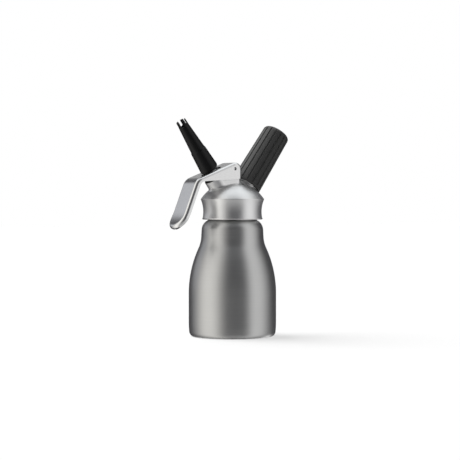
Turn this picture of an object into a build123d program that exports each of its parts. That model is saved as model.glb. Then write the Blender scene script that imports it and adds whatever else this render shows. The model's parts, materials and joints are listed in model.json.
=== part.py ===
from build123d import *
import os
from math import acos, cos, degrees, radians, sin, sqrt, tan

# Cream whipper with a double-walled bottle, a screwed head, a lever valve and a gas charger.
# Millimetres. +Z is up, the origin is the centre of the base, the nozzle leans towards -X.

# Bottle
body_radius = 42.5
throat_radius = 30.3
foot_corner = 5.0
heel_radius = 90.0
heel_turn = 6.0
wall_height = 42.0
shoulder_radius = 106.0
throat_curve = 30.0
throat_slope = 3.0
throat_length = 7.0
crown_radius = 11.0
shell_wall = 0.9
vacuum_gap = 2.6
liner_wall = 0.9
neck_radius = 23.5
neck_wall = 2.5
neck_length = 24.2
weld_gap = 0.05
foot_lip = 3.0
base_plate_flange = 2.6
base_plate_thick = 1.2
base_plate_gap = 0.05

# Head
gasket_thick = 2.3
gasket_width = 4.3
seat_gap = 0.05
thread_gap = 0.3
collar_gap = 0.35
collar_foot_radius = 29.4
collar_foot_height = 1.4
collar_foot_round = 1.2
waist_radius = 28.4
waist_height = 8.9
ridge_radius = 30.9
ridge_rise = 5.3
ridge_round = 0.5
dome_height = 17.0
head_wall = 5.6
room_radius = 19.0
axes_drop = 3.0
tilt = 34.5

# Valve, measured along its axis from the point where the two slanted axes meet
valve_boss_radius = 10.5
valve_boss_top = 35.6
valve_boss_blend = 2.5
seat_face = 15.5
seat_boss_radius = 9.5
passage_radius = 5.0
seal_recess = 24.0
ring_section = 0.88
stem_radius = 4.0
stem_top_radius = 3.6
stem_top_length = 8.3
stem_bore_radius = 2.2
stem_bore_floor = 17.0
cross_hole_radius = 1.4
poppet_radius = 7.0
poppet_thick = 2.0
valve_seal_thick = 1.85
valve_seal_inner = 5.2
valve_travel = 2.0
stop_gap = 0.3
running_gap = 0.05
gland_radius = 7.95
gland_wall = 0.9
gland_floor = 2.15
gland_rim_radius = 10.0
gland_rim_thick = 0.7
spring_radius = 5.7
spring_wire = 1.0
spring_turns = 5.0

# Nozzle and its adapter
adapter_radius = 9.0
adapter_thick = 1.5
spigot_radius = 4.9
spigot_length = 12.9
nozzle_seal_thick = 0.95
nozzle_seal_inner = 3.0
nozzle_length = 57.25
nozzle_base_radius = 9.25
nozzle_base_round = 3.5
nozzle_step_length = 23.45
nozzle_step_radius = 7.75
nozzle_step = 0.5
nozzle_neck_radius = 5.2
nozzle_way_radius = 4.2
nozzle_mouth_radius = 3.7
tine_length = 6.4
tine_gap = 2.8
tine_foot = 0.4
tine_turn = -42.0
tine_count = 5

# Lever
pivot_back = 4.6
pivot_rise = 34.7
pivot_round = 6.0
crest_shift = 1.5
pin_radius = 1.5
pin_half_length = 11.9
pin_gap = 0.02
lever_half_width = 13.5
lever_wall = 2.0
lever_edge_round = 3.0
web_angle = 21.4
web_length = 43.95
bend_radius = 12.0
handle_angle = 21.3
handle_length = 32.0
flange_drop = 9.4
flange_slope = 4.0
flange_depth = 5.3
flange_corner = 6.0
curl_radius = 40.0
curl_turn = 19.0
tip_length = 4.7
tip_spare = 6.0
tip_round = 14.0
web_hole_radius = 9.55
web_hole_stretch = 1.25
pad_radius = 1.15
pad_gap = 0.15
pad_nozzle_gap = 1.0
pad_spigot_gap = 0.5
bracket_side_gap = 0.3
bracket_round = 3.0
bracket_inset = 0.1
bracket_foot_back = 6.2
bracket_foot_top = 9.4

# Gas charger and its holder, measured along the charger's axis from the same point
charger_boss_radius = 9.2
charger_boss_top = 27.6
inner_boss_radius = 10.5
inner_boss_face = 16.5
gas_way_radius = 1.5
stud_radius = 7.2
stud_plug_length = 8.6
stud_floor = 1.4
stud_thread_radius = 11.3
stud_thread_length = 7.4
stud_bore_gap = 0.6
stud_flare_length = 4.5
needle_radius = 0.8
needle_bore = 0.35
needle_foot_radius = 2.0
needle_reach = 3.1
charger_seal_thick = 1.1
charger_seal_inner = 1.3
charger_length = 65.5
charger_radius = 9.3
charger_neck_radius = 4.3
charger_neck_length = 9.0
charger_shoulder = 9.5
charger_end = 6.0
charger_wall = 1.3
charger_hole_radius = 1.1
check_valve_radius = 4.0
check_valve_thick = 1.05
check_stem_gap = 0.15
check_stem_length = 1.7
holder_gap = -0.5
holder_end_gap = 0.3
holder_base_radius = 14.75
holder_top_radius = 13.4
holder_crown_thick = 4.0
holder_crown_rise = 2.2
holder_corner = 3.6
holder_foot_edge = 0.8
charger_room_gap = 0.4
insert_wall = 1.0
insert_gap = 0.02
thread_fit = 0.08
insert_length = 8.5
groove_count = 16
groove_radius = 0.95
groove_rise = 0.15
groove_turn = 12.0

# Heights and points that follow from the sizes above
slope = radians(throat_slope)
shoulder_drop = body_radius - throat_radius
shoulder_cos = (shoulder_radius + throat_curve * cos(slope) - shoulder_drop) / (shoulder_radius + throat_curve)
shoulder_turn = acos(shoulder_cos)
throat_z = wall_height + shoulder_radius * sin(shoulder_turn)
throat_z = throat_z + throat_curve * (sin(shoulder_turn) - sin(slope))
crown_z = throat_z + throat_length * cos(slope)
crown_centre_r = throat_radius - throat_length * sin(slope) - crown_radius * cos(slope)
crown_centre_z = crown_z - crown_radius * sin(slope)
foot_radius = body_radius - heel_radius + (heel_radius - foot_corner) * cos(radians(heel_turn))
base_hole_radius = foot_radius - foot_lip
shell_hole_radius = neck_radius + weld_gap
shell_top_z = crown_centre_z + sqrt(crown_radius**2 - (shell_hole_radius - crown_centre_r) ** 2)
mouth_radius = neck_radius - neck_wall
rim_z = crown_z + neck_length
cap_z = rim_z + gasket_thick + 2 * seat_gap
collar_z = shell_top_z + collar_gap
ridge_z = rim_z + ridge_rise
dome_top = ridge_z + dome_height
dome_radius = (ridge_radius**2 + dome_height**2) / (2 * dome_height)
dome_centre_z = dome_top - dome_radius
inner_dome_radius = dome_radius - head_wall
room_top_z = dome_centre_z + sqrt(inner_dome_radius**2 - room_radius**2)
thread_room_radius = neck_radius + thread_gap
axes_z = rim_z - axes_drop
tilt_sin = sin(radians(tilt))
tilt_cos = cos(radians(tilt))

ring_radius = stem_radius + running_gap + ring_section
recess_radius = ring_radius + ring_section + running_gap
gland_face = seal_recess + 2 * ring_section + running_gap
gland_top = valve_boss_top + gland_rim_thick
adapter_face = gland_top + valve_travel + stop_gap
adapter_top = adapter_face + adapter_thick
spigot_top = adapter_top + spigot_length
stem_top = adapter_face + stem_top_length
pad_centre = adapter_top + pad_gap + pad_radius
nozzle_base = pad_centre + pad_radius + pad_nozzle_gap
nozzle_tip = nozzle_base + nozzle_length
nozzle_step_top = nozzle_base + nozzle_step_length
tine_root = nozzle_tip - tine_length
socket_radius = spigot_radius + 2 * running_gap
socket_top = spigot_top + nozzle_seal_thick + 2 * seat_gap
poppet_top = seat_face - seat_gap - valve_seal_thick
poppet_face = poppet_top - poppet_thick

stud_face = charger_boss_top - stud_plug_length
stud_floor_top = stud_face + stud_floor
stud_top = charger_boss_top + stud_thread_length
stud_bore_radius = charger_neck_radius + stud_bore_gap
charger_tip = stud_floor_top + charger_seal_thick + 2 * seat_gap
charger_top = charger_tip + charger_length
holder_base = charger_boss_top + holder_gap
holder_room_top = charger_top + holder_end_gap
holder_apex = holder_room_top + holder_crown_thick
holder_edge = holder_apex - holder_crown_rise
holder_room_radius = charger_radius + charger_room_gap
insert_inner = stud_thread_radius + thread_fit
insert_outer = insert_inner + insert_wall
insert_top = holder_base + insert_length

pivot_x = -pivot_back
crest_x = pivot_x + crest_shift
pivot_z = rim_z + pivot_rise
web_sin = sin(radians(web_angle))
web_cos = cos(radians(web_angle))
handle_sin = sin(radians(handle_angle))
handle_cos = cos(radians(handle_angle))
handle_tan = tan(radians(handle_angle))
flange_tan = tan(radians(flange_slope))
web_start_x = crest_x - pivot_round * web_sin
web_start_z = pivot_z + pivot_round * web_cos
knee_x = web_start_x - web_length * web_cos
knee_z = web_start_z - web_length * web_sin
flange_z = pivot_z - flange_drop
bracket_half = valve_boss_radius - bracket_inset
flange_wall = lever_half_width - bracket_half - bracket_side_gap
tip_reach = handle_length + (curl_radius + flange_depth) * sin(radians(curl_turn))
tip_reach = tip_reach + tip_length * cos(radians(curl_turn))


def on_axis(side, distance, across=0.0):
    """Point on the valve axis (side -1) or charger axis (side 1), moved across it in the XZ plane."""
    x = side * distance * tilt_sin + across * tilt_cos
    z = axes_z + distance * tilt_cos - side * across * tilt_sin
    return (x, 0, z)


def crown_turn(inset, stop_radius):
    """Angle through which the crown curves before it meets the given radius."""
    return degrees(acos((stop_radius - crown_centre_r) / (crown_radius - inset))) - throat_slope


def bottle_side(inset, start_radius, stop_radius):
    """Draw the bottle's side, set in from the outside by the given distance; returns its upper end."""
    turn = degrees(shoulder_turn)
    floor = Line((start_radius, inset), (foot_radius, inset))
    corner = JernArc(floor @ 1, (1, 0), foot_corner - inset, 90 - heel_turn)
    heel = JernArc(corner @ 1, corner % 1, heel_radius - inset, heel_turn)
    wall = Line(heel @ 1, (body_radius - inset, wall_height))
    shoulder = JernArc(wall @ 1, (0, 1), shoulder_radius - inset, turn)
    throat = JernArc(shoulder @ 1, shoulder % 1, throat_curve + inset, throat_slope - turn)
    neck = PolarLine(throat @ 1, throat_length, 90 + throat_slope)
    crown = JernArc(neck @ 1, neck % 1, crown_radius - inset, crown_turn(inset, stop_radius))
    return crown @ 1


def lever_web(inset):
    """Draw the lever's outer face from pivot to tip, set in by the given distance; returns both ends and the
    direction at the tip."""
    meet = inset / (1 + web_sin * handle_cos + web_cos * handle_sin)
    start = (crest_x - (pivot_round - inset) * web_sin, pivot_z + (pivot_round - inset) * web_cos)
    knee = (knee_x + meet * (web_sin + handle_cos), knee_z - meet * (web_cos + handle_sin))
    curl_x = knee_x - handle_length * handle_sin + inset * handle_cos
    curl_z = knee_z - handle_length * handle_cos - inset * handle_sin
    bend = FilletPolyline(start, knee, (curl_x, curl_z), radius=bend_radius - inset)
    curl = JernArc(bend @ 1, (-handle_sin, -handle_cos), curl_radius + inset, -curl_turn)
    tip = Line(curl @ 1, (curl @ 1) + (curl % 1) * (tip_length + tip_spare))
    return start, tip @ 1, tip % 1


def tip_outside(inset):
    """Draw what lies outside the lever's rounded tip, set in by the given distance, in the handle's plane."""
    with Locations((0, tip_reach + 10.0)):
        Rectangle(2 * lever_half_width + 4.0, 2 * tip_round + 20.0)
    with Locations((0, tip_reach - tip_round)):
        Ellipse(lever_half_width - inset, tip_round - inset, mode=Mode.SUBTRACT)


handle_plane = Plane(origin=(knee_x, 0, knee_z), x_dir=(0, 1, 0), z_dir=(-handle_cos, 0, handle_sin))
valve_section = Plane(origin=(0, 0, axes_z), x_dir=(tilt_cos, 0, tilt_sin), z_dir=(0, -1, 0))
charger_section = Plane(origin=(0, 0, axes_z), x_dir=(tilt_cos, 0, -tilt_sin), z_dir=(0, -1, 0))
valve_axis = Axis((0, 0, axes_z), (-tilt_sin, 0, tilt_cos))
charger_axis = Axis((0, 0, axes_z), (tilt_sin, 0, tilt_cos))


def valve_plane(distance, across=0.0):
    """Plane square to the valve axis."""
    centre = on_axis(-1, distance, across)
    return Plane(origin=centre, x_dir=(tilt_cos, 0, tilt_sin), z_dir=(-tilt_sin, 0, tilt_cos))


def valve_cut(angle):
    """Plane through the valve axis, turned about it by the given angle."""
    across = cos(radians(angle))
    side = sin(radians(angle))
    turned = (tilt_cos * across, side, tilt_sin * across)
    facing = (tilt_cos * side, -across, tilt_sin * side)
    return Plane(origin=(0, 0, axes_z), x_dir=turned, z_dir=facing)


def charger_plane(distance):
    """Plane square to the charger axis."""
    return Plane(origin=on_axis(1, distance), x_dir=(tilt_cos, 0, -tilt_sin), z_dir=(tilt_sin, 0, tilt_cos))


# Outer shell of the bottle, open at the base and at the neck
with BuildPart() as bottle_shell:
    with BuildSketch(Plane.XZ):
        with BuildLine():
            outer_end = bottle_side(0, base_hole_radius, shell_hole_radius)
            inner_end = bottle_side(shell_wall, base_hole_radius, shell_hole_radius)
            Line(outer_end, inner_end)
            Line((base_hole_radius, 0), (base_hole_radius, shell_wall))
        make_face()
    revolve(axis=Axis.Z)

# Inner liner with the neck that the head screws on
liner_inset = shell_wall + vacuum_gap
with BuildPart() as bottle_liner:
    with BuildSketch(Plane.XZ):
        with BuildLine():
            outer_end = bottle_side(liner_inset, 0, neck_radius)
            inner_end = bottle_side(liner_inset + liner_wall, 0, mouth_radius)
            Polyline(outer_end, (neck_radius, rim_z), (mouth_radius, rim_z), inner_end)
            Line((0, liner_inset), (0, liner_inset + liner_wall))
        make_face()
    revolve(axis=Axis.Z)

# Base disc: a plug flush with the foot and a flange on the inside of the shell's lip
base_plug_radius = base_hole_radius - base_plate_gap
base_flange_z = shell_wall + base_plate_gap
with BuildPart() as base_plate:
    with BuildSketch(Plane.XY):
        Circle(base_plug_radius)
    extrude(amount=base_flange_z)
    with BuildSketch(Plane.XY.offset(base_flange_z)):
        Circle(base_hole_radius + base_plate_flange)
    extrude(amount=base_plate_thick)

# Rubber ring between the bottle's rim and the head
with BuildPart() as head_gasket:
    with BuildSketch(Plane.XY.offset(rim_z + seat_gap)):
        Circle(neck_radius)
        Circle(neck_radius - gasket_width, mode=Mode.SUBTRACT)
    extrude(amount=gasket_thick)

# Head: collar, dome, slanted bosses and the bracket for the lever
bracket_foot_z = pivot_z - bracket_foot_top
bracket_foot_low = dome_top - 2 * head_wall
foot_lower = on_axis(-1, (bracket_foot_low - axes_z) / tilt_cos)
foot_upper = on_axis(-1, (bracket_foot_z - axes_z) / tilt_cos)
with BuildPart() as head_body:
    with BuildSketch(Plane.XZ):
        with BuildLine():
            foot_top = (collar_foot_radius, collar_z + collar_foot_height)
            waist = (waist_radius, collar_z + waist_height)
            ridge = (ridge_radius, ridge_z)
            Polyline((0, dome_top), (0, collar_z), (collar_foot_radius, collar_z), foot_top)
            Line(foot_top, (collar_foot_radius - 0.4, foot_top[1]))
            ThreePointArc((collar_foot_radius - 0.4, foot_top[1]), waist, ridge)
            RadiusArc(ridge, (0, dome_top), -dome_radius)
        make_face()
    revolve(axis=Axis.Z)
    ridge_edges = [
        e for e in head_body.edges().filter_by(GeomType.CIRCLE) if abs(e.radius - ridge_radius) < 0.01
    ]
    fillet(ridge_edges, radius=ridge_round)
    foot_edges = [
        e
        for e in head_body.edges().filter_by(GeomType.CIRCLE)
        if abs(e.radius - collar_foot_radius) < 0.01 and abs(e.center().Z - collar_z) < 0.01
    ]
    fillet(foot_edges, radius=collar_foot_round)
    with BuildSketch(valve_plane(seat_face)):
        Circle(valve_boss_radius)
    extrude(amount=valve_boss_top - seat_face)
    blend_edges = [
        e for e in head_body.edges() if e.geom_type not in (GeomType.CIRCLE, GeomType.LINE) and e.center().X < 0
    ]
    fillet(blend_edges, radius=valve_boss_blend)
    with BuildSketch(charger_plane(inner_boss_face)):
        Circle(charger_boss_radius)
    extrude(amount=charger_boss_top - inner_boss_face)
    with BuildSketch(Plane.XZ):
        with Locations((pivot_x, pivot_z)):
            Circle(bracket_round)
        Polygon(
            (pivot_x - bracket_round, pivot_z),
            (pivot_x - bracket_round, dome_top - head_wall),
            (pivot_x + bracket_round, dome_top - head_wall),
            (pivot_x + bracket_round, pivot_z),
            align=None,
        )
    extrude(amount=bracket_half, both=True)
    with BuildSketch(Plane.XZ):
        Polygon(
            (foot_lower[0], foot_lower[2]),
            (foot_upper[0], foot_upper[2]),
            (pivot_x + bracket_foot_back, bracket_foot_z),
            (pivot_x + bracket_foot_back, bracket_foot_low),
            align=None,
        )
    extrude(amount=bracket_half, both=True)
    with BuildSketch(Plane.XZ):
        with BuildLine():
            room_edge = (room_radius, room_top_z)
            Polyline(
                (0, collar_z),
                (thread_room_radius + 1.0, collar_z),
                (thread_room_radius, collar_z + 1.0),
                (thread_room_radius, cap_z),
                (room_radius, cap_z),
                room_edge,
            )
            RadiusArc(room_edge, (0, dome_centre_z + inner_dome_radius), -inner_dome_radius)
            Line((0, dome_centre_z + inner_dome_radius), (0, collar_z))
        make_face()
    revolve(axis=Axis.Z, mode=Mode.SUBTRACT)
    with BuildSketch(valve_plane(seat_face)):
        Circle(seat_boss_radius)
    extrude(amount=seal_recess - seat_face)
    with BuildSketch(charger_plane(inner_boss_face)):
        Circle(inner_boss_radius)
    extrude(amount=stud_face - inner_boss_face + 3.0)
    with BuildSketch(valve_section):
        Polygon(
            (0, seat_face - 1.0),
            (passage_radius, seat_face - 1.0),
            (passage_radius, seal_recess),
            (recess_radius, seal_recess),
            (recess_radius, gland_face),
            (gland_radius + running_gap, gland_face),
            (gland_radius + running_gap, valve_boss_top + 1.0),
            (0, valve_boss_top + 1.0),
            align=None,
        )
    revolve(axis=valve_axis, mode=Mode.SUBTRACT)
    with BuildSketch(charger_section):
        Polygon(
            (0, inner_boss_face - 1.0),
            (gas_way_radius, inner_boss_face - 1.0),
            (gas_way_radius, stud_face - seat_gap),
            (stud_radius + pin_gap, stud_face - seat_gap),
            (stud_radius + pin_gap, charger_boss_top + 1.0),
            (0, charger_boss_top + 1.0),
            align=None,
        )
    revolve(axis=charger_axis, mode=Mode.SUBTRACT)
    with BuildSketch(Plane.XZ):
        with Locations((pivot_x, pivot_z)):
            Circle(pin_radius + pin_gap)
    extrude(amount=bracket_half + 1.0, both=True, mode=Mode.SUBTRACT)

# Pin that the lever swings on
with BuildPart() as lever_pin:
    with BuildSketch(Plane.XZ):
        with Locations((pivot_x, pivot_z)):
            Circle(pin_radius)
    extrude(amount=pin_half_length, both=True)
    chamfer(lever_pin.edges().filter_by(GeomType.CIRCLE), length=0.3)

# Room inside the lever's channel, which stops short of the tip
with BuildPart() as lever_room:
    with BuildSketch(Plane.XZ):
        with BuildLine():
            web_start, tip_end, tip_way = lever_web(lever_wall)
            beyond = tip_end + tip_way * 10.0
            open_end = (crest_x + 2 * pivot_round, pivot_z + pivot_round - lever_wall)
            crest = (crest_x, open_end[1])
            Polyline(tip_end, beyond, (open_end[0], beyond.Y), open_end, crest)
            CenterArc((crest_x, pivot_z), pivot_round - lever_wall, 90, web_angle)
        make_face()
    extrude(amount=lever_half_width - flange_wall, both=True)
    with BuildSketch(handle_plane):
        tip_outside(flange_wall)
    extrude(amount=60.0, both=True, mode=Mode.SUBTRACT)

# Lever: a bent channel with a closed round tip, a hole for the nozzle and two pads that press the adapter
lever_normal = Vector(cos(radians(110)), 0, sin(radians(110)))
with BuildPart() as lever:
    with BuildSketch(Plane.XZ):
        with BuildLine():
            web_start, tip_end, tip_way = lever_web(0)
            tip_inner = tip_end + Vector(-tip_way.Y, tip_way.X) * flange_depth
            end_x = knee_x - handle_length * handle_sin + flange_depth * handle_cos
            end_z = knee_z - handle_length * handle_cos - flange_depth * handle_sin
            foot = (crest_x + pivot_round, flange_z)
            inner_z = flange_z + (end_x - end_z * handle_tan - foot[0]) * flange_tan
            inner_z = inner_z / (1 - handle_tan * flange_tan)
            inner_x = end_x + (inner_z - end_z) * handle_tan
            Polyline(tip_end, tip_inner, tip_inner - tip_way * (tip_length + tip_spare))
            JernArc((end_x, end_z), (-handle_sin, -handle_cos), curl_radius + flange_depth, -curl_turn)
            FilletPolyline((end_x, end_z), (inner_x, inner_z), foot, radius=flange_corner)
            Line(foot, (crest_x + pivot_round, pivot_z))
            CenterArc((crest_x, pivot_z), pivot_round, 0, 90 + web_angle)
        make_face()
    extrude(amount=lever_half_width, both=True)
    with BuildSketch(handle_plane):
        tip_outside(0)
    extrude(amount=60.0, both=True, mode=Mode.SUBTRACT)
    web_faces = [f for f in lever.faces() if f.normal_at().dot(lever_normal) > 0.3]
    web_edges = [e for f in web_faces for e in f.edges() if abs(e.tangent_at(0).Y) < 0.99]
    fillet(web_edges, radius=lever_edge_round)
    add(lever_room.part, mode=Mode.SUBTRACT)
    with BuildSketch(valve_plane(adapter_face, web_hole_stretch / 2)):
        SlotCenterToCenter(web_hole_stretch, 2 * web_hole_radius)
    extrude(amount=20.0, mode=Mode.SUBTRACT)
    with BuildSketch(Plane.XZ):
        with Locations((pivot_x, pivot_z)):
            Circle(pin_radius + running_gap)
    extrude(amount=lever_half_width + 1.0, both=True, mode=Mode.SUBTRACT)
    pad_point = on_axis(-1, pad_centre)
    pad_inner = spigot_radius + pad_spigot_gap
    pad_reach = lever_half_width - flange_wall / 2 - pad_inner
    with BuildSketch(Plane.XZ.offset(pad_inner)):
        with Locations((pad_point[0], pad_point[2])):
            Circle(pad_radius)
    extrude(amount=pad_reach)
    with BuildSketch(Plane.XZ.offset(-pad_inner)):
        with Locations((pad_point[0], pad_point[2])):
            Circle(pad_radius)
    extrude(amount=-pad_reach)

# Valve stem with the poppet below the seat
with BuildPart() as valve_stem:
    with BuildSketch(valve_section):
        Polygon(
            (0, poppet_face),
            (poppet_radius, poppet_face),
            (poppet_radius, poppet_top),
            (stem_radius, poppet_top),
            (stem_radius, adapter_face),
            (stem_top_radius, adapter_face),
            (stem_top_radius, stem_top),
            (stem_bore_radius, stem_top),
            (stem_bore_radius, stem_bore_floor),
            (0, stem_bore_floor),
            align=None,
        )
    revolve(axis=valve_axis)
    cross_hole_at = stem_bore_floor + cross_hole_radius + 0.2
    cross_point = on_axis(-1, cross_hole_at)
    with BuildSketch(Plane.XZ):
        with Locations((cross_point[0], cross_point[2])):
            Circle(cross_hole_radius)
    extrude(amount=2 * stem_radius, both=True, mode=Mode.SUBTRACT)

# Rubber ring on the poppet
with BuildPart() as valve_seal:
    with BuildSketch(valve_plane(poppet_top)):
        Circle(poppet_radius)
        Circle(valve_seal_inner, mode=Mode.SUBTRACT)
    extrude(amount=valve_seal_thick)

# Ring seal round the stem
with BuildPart() as stem_ring:
    with BuildSketch(valve_section):
        with Locations((ring_radius, seal_recess + running_gap / 2 + ring_section)):
            Circle(ring_section)
    revolve(axis=valve_axis)

# Gland: cup for the spring with a rim on the boss
with BuildPart() as valve_gland:
    with BuildSketch(valve_section):
        Polygon(
            (stem_radius + running_gap, gland_face),
            (gland_radius, gland_face),
            (gland_radius, valve_boss_top),
            (gland_rim_radius, valve_boss_top),
            (gland_rim_radius, gland_top),
            (gland_radius - gland_wall, gland_top),
            (gland_radius - gland_wall, gland_face + gland_floor),
            (stem_radius + running_gap, gland_face + gland_floor),
            align=None,
        )
    revolve(axis=valve_axis)

# Spring that lifts the adapter and closes the valve
spring_low = gland_face + gland_floor + spring_wire / 2 + seat_gap
spring_high = adapter_face - spring_wire / 2 - seat_gap
with BuildPart() as valve_spring:
    with BuildLine():
        coil = Helix(
            pitch=(spring_high - spring_low) / spring_turns,
            height=spring_high - spring_low,
            radius=spring_radius,
            center=on_axis(-1, spring_low),
            direction=(-tilt_sin, 0, tilt_cos),
        )
    with BuildSketch(Plane(origin=coil @ 0, z_dir=coil % 0)):
        Circle(spring_wire / 2)
    sweep(path=coil, is_frenet=True)

# Adapter: flange under the lever's pads and spigot for the nozzle
with BuildPart() as nozzle_adapter:
    with BuildSketch(valve_section):
        Polygon(
            (stem_top_radius + pin_gap, adapter_face),
            (adapter_radius, adapter_face),
            (adapter_radius, adapter_top),
            (spigot_radius, adapter_top),
            (spigot_radius, spigot_top),
            (stem_bore_radius, spigot_top),
            (stem_bore_radius, stem_top + seat_gap),
            (stem_top_radius + pin_gap, stem_top + seat_gap),
            align=None,
        )
    revolve(axis=valve_axis)

# Washer between spigot and nozzle
with BuildPart() as nozzle_seal:
    with BuildSketch(valve_plane(spigot_top + seat_gap)):
        Circle(spigot_radius)
        Circle(nozzle_seal_inner, mode=Mode.SUBTRACT)
    extrude(amount=nozzle_seal_thick)

# Decorating nozzle with tines round its mouth
with BuildPart() as decorator_nozzle:
    with BuildSketch(valve_section):
        Polygon(
            (socket_radius, nozzle_base),
            (nozzle_base_radius, nozzle_base),
            (nozzle_step_radius, nozzle_step_top),
            (nozzle_step_radius - nozzle_step, nozzle_step_top + 2 * nozzle_step),
            (nozzle_neck_radius, tine_root),
            (nozzle_neck_radius - 0.2, nozzle_tip - 0.6),
            (nozzle_neck_radius - 0.6, nozzle_tip),
            (nozzle_mouth_radius, nozzle_tip),
            (nozzle_mouth_radius, tine_root),
            (nozzle_way_radius, socket_top + 4.0),
            (nozzle_way_radius, socket_top),
            (socket_radius, socket_top),
            align=None,
        )
    revolve(axis=valve_axis)
    base_edges = [
        e for e in decorator_nozzle.edges().filter_by(GeomType.CIRCLE) if abs(e.radius - nozzle_base_radius) < 0.01
    ]
    fillet(base_edges, radius=nozzle_base_round)
    slot_end = tine_root + tine_foot + tine_gap / 2
    for tine in range(tine_count):
        with BuildSketch(valve_cut(tine_turn + tine * 360 / tine_count)):
            with Locations((0, slot_end)):
                Circle(tine_gap / 2)
            with Locations((0, slot_end + tine_length / 2)):
                Rectangle(tine_gap, tine_length)
        extrude(amount=2 * nozzle_neck_radius, mode=Mode.SUBTRACT)

# Stud that carries the holder's thread and the charger's neck
with BuildPart() as charger_stud:
    with BuildSketch(charger_section):
        Polygon(
            (needle_foot_radius + pin_gap, stud_face),
            (stud_radius, stud_face),
            (stud_radius, charger_boss_top),
            (stud_thread_radius, charger_boss_top),
            (stud_thread_radius, stud_top),
            (holder_room_radius, stud_top),
            (stud_bore_radius, stud_top - stud_flare_length),
            (stud_bore_radius, stud_floor_top),
            (needle_foot_radius + pin_gap, stud_floor_top),
            align=None,
        )
    revolve(axis=charger_axis)

# Hollow needle that pierces the charger
needle_tip = charger_tip + needle_reach
with BuildPart() as piercing_pin:
    with BuildSketch(charger_section):
        Polygon(
            (needle_bore, stud_face),
            (needle_foot_radius, stud_face),
            (needle_foot_radius, stud_floor_top),
            (needle_radius, stud_floor_top),
            (needle_radius, needle_tip - needle_radius),
            (needle_bore, needle_tip),
            align=None,
        )
    revolve(axis=charger_axis)

# Washer that seals the charger's tip
with BuildPart() as charger_seal:
    with BuildSketch(charger_plane(stud_floor_top + seat_gap)):
        Circle(stud_bore_radius - running_gap)
        Circle(charger_seal_inner, mode=Mode.SUBTRACT)
    extrude(amount=charger_seal_thick)

# Rubber check valve on the inner end of the gas way
with BuildPart() as check_valve:
    with BuildSketch(charger_plane(inner_boss_face - seat_gap - check_valve_thick)):
        Circle(check_valve_radius)
    extrude(amount=check_valve_thick)
    with BuildSketch(charger_plane(inner_boss_face - seat_gap)):
        Circle(gas_way_radius - check_stem_gap)
    extrude(amount=check_stem_length)

# Gas charger: a steel bulb with a pierced neck
neck_end = charger_tip + charger_neck_length
shoulder_end = neck_end + charger_shoulder
bulb_end = charger_top - charger_end
with BuildPart() as gas_charger:
    with BuildSketch(charger_section):
        with BuildLine():
            Polyline((0, charger_top), (0, neck_end), (charger_neck_radius, neck_end))
            Line((charger_neck_radius, neck_end), (charger_neck_radius, neck_end + 1.0))
            Spline(
                (charger_neck_radius, neck_end + 1.0),
                (charger_radius, shoulder_end),
                tangents=((0, 1), (0, 1)),
            )
            Line((charger_radius, shoulder_end), (charger_radius, bulb_end))
            Spline((charger_radius, bulb_end), (0, charger_top), tangents=((0, 1), (-1, 0)))
        make_face()
    revolve(axis=charger_axis)
    with BuildSketch(charger_section):
        Polygon(
            (0, neck_end + charger_wall + 1.0),
            (charger_neck_radius - charger_wall, neck_end + charger_wall + 1.0),
            (charger_radius - charger_wall, shoulder_end + charger_wall),
            (charger_radius - charger_wall, bulb_end),
            (0, bulb_end + charger_end - charger_wall),
            align=None,
        )
    revolve(axis=charger_axis, mode=Mode.SUBTRACT)
    with BuildSketch(charger_plane(charger_tip)):
        Circle(charger_neck_radius)
    extrude(amount=charger_neck_length)
    with BuildSketch(charger_plane(charger_tip)):
        Circle(charger_hole_radius)
    extrude(amount=charger_neck_length + charger_wall + 2.0, mode=Mode.SUBTRACT)

# Holder: a ribbed cup that screws over the charger
holder_taper = (holder_base_radius - holder_top_radius) / (holder_edge - holder_base)
groove_low = holder_base + 2.0
groove_low_radius = holder_base_radius - 2.0 * holder_taper + groove_rise
groove_length = holder_apex - groove_low + 2.0
holder_edge_axis = Vector(-holder_taper, 1.0).normalized()
with BuildPart() as holder_groove:
    groove_dir = Vector(
        holder_edge_axis.X * tilt_cos + holder_edge_axis.Y * tilt_sin,
        0,
        -holder_edge_axis.X * tilt_sin + holder_edge_axis.Y * tilt_cos,
    )
    with BuildSketch(Plane(origin=on_axis(1, groove_low, groove_low_radius), z_dir=groove_dir)):
        Circle(groove_radius)
    extrude(amount=groove_length)

with BuildPart() as charger_holder:
    with BuildSketch(charger_section):
        with BuildLine():
            foot_edge = (holder_base_radius - holder_foot_edge, holder_base)
            foot_side = (holder_base_radius - holder_foot_edge * holder_taper, holder_base + holder_foot_edge)
            shoulder = (holder_top_radius, holder_edge)
            crown_arc = (holder_top_radius**2 + holder_crown_rise**2) / (2 * holder_crown_rise)
            Polyline((0, holder_apex), (0, holder_base), foot_edge)
            RadiusArc(foot_edge, foot_side, -holder_foot_edge)
            Line(foot_side, shoulder)
            RadiusArc(shoulder, (0, holder_apex), -crown_arc)
        make_face()
    revolve(axis=charger_axis)
    corner_edges = [
        e
        for e in charger_holder.edges().filter_by(GeomType.CIRCLE)
        if abs(e.radius - holder_top_radius) < 0.01
    ]
    fillet(corner_edges, radius=holder_corner)
    with BuildSketch(charger_section):
        Polygon(
            (0, holder_base - 1.0),
            (insert_outer + insert_gap, holder_base - 1.0),
            (insert_outer + insert_gap, insert_top + seat_gap),
            (holder_room_radius, insert_top + seat_gap),
            (holder_room_radius, holder_room_top - 2.0),
            (holder_room_radius - 2.0, holder_room_top),
            (0, holder_room_top),
            align=None,
        )
    revolve(axis=charger_axis, mode=Mode.SUBTRACT)
    for groove in range(groove_count):
        groove_angle = groove_turn + groove * 360 / groove_count
        add(holder_groove.part.rotate(charger_axis, groove_angle), mode=Mode.SUBTRACT)

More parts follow.
